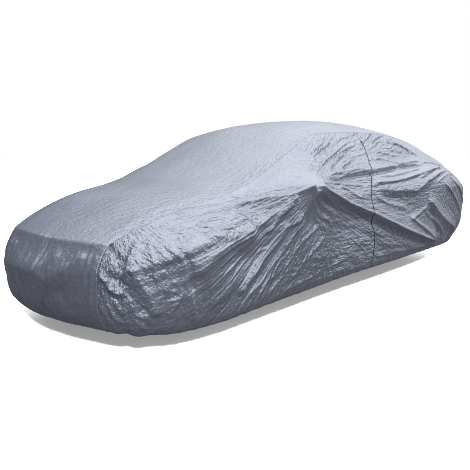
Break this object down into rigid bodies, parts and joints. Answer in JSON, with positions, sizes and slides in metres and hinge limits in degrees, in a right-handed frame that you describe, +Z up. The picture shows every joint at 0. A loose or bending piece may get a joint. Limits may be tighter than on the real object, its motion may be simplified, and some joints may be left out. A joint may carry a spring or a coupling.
{
  "type": "car cover",
  "caption": "Fitted full cover for a mid-size saloon car, hanging as worn: hollow, open below, gathered hem, mirror tents and a zip on the left side.",
  "frame": {"origin": "the point on the underside of the cover's roof, 0.35 m behind mid-wheelbase, where the car's roof carries it; the ground is 1.466 m below", "axes": "-Y towards the front of the car, +X to the car's left (the zip side), +Z up"},
  "size_m": [2.0126, 4.745, 1.2922],
  "materials": {
    "cover_cloth": "silver-grey film-coated non-woven cloth, semi-gloss, finely crinkled",
    "zip_nylon": "dark nylon coil and tape",
    "zip_metal": "dark enamelled"
  },
  "bodies": {
    "root": {"centre_panel": "cover_cloth", "left_front_side": "cover_cloth", "left_rear_side": "cover_cloth", "right_side": "cover_cloth", "zip_strip": "zip_nylon", "zip_slider": "zip_metal", "zip_pull": "zip_metal"}
  },
  "joints": []
}
